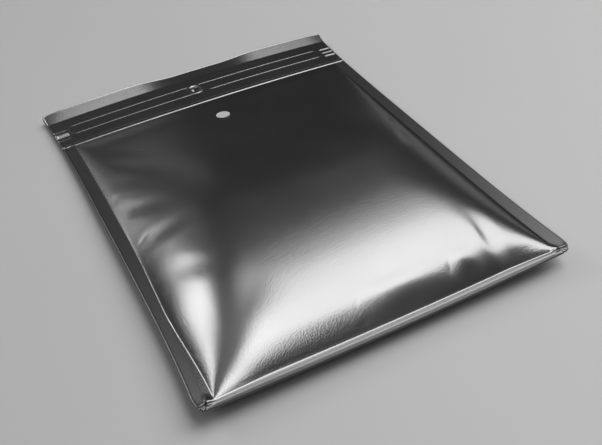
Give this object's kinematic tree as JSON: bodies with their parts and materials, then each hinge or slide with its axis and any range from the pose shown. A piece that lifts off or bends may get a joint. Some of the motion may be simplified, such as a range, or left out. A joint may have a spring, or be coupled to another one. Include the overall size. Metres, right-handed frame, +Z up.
{
  "type": "anti static shielding bag",
  "caption": "Sealed metallised film bag, air-filled like a pillow, with welded hems and a pressed zip header, lying on its back.",
  "frame": {"origin": "on the table, under the middle of the bag's bounding box", "axes": "+Y along the bag's length towards the zip, +X across its width, +Z up out of the front panel"},
  "size_m": [0.203, 0.268, 0.0289],
  "materials": {
    "metallised_film": "satin metallised film, dark neutral grey",
    "pale_disc": "matt, pale grey"
  },
  "bodies": {
    "root": {"bag": "metallised_film", "round_disc": "pale_disc"}
  },
  "joints": []
}
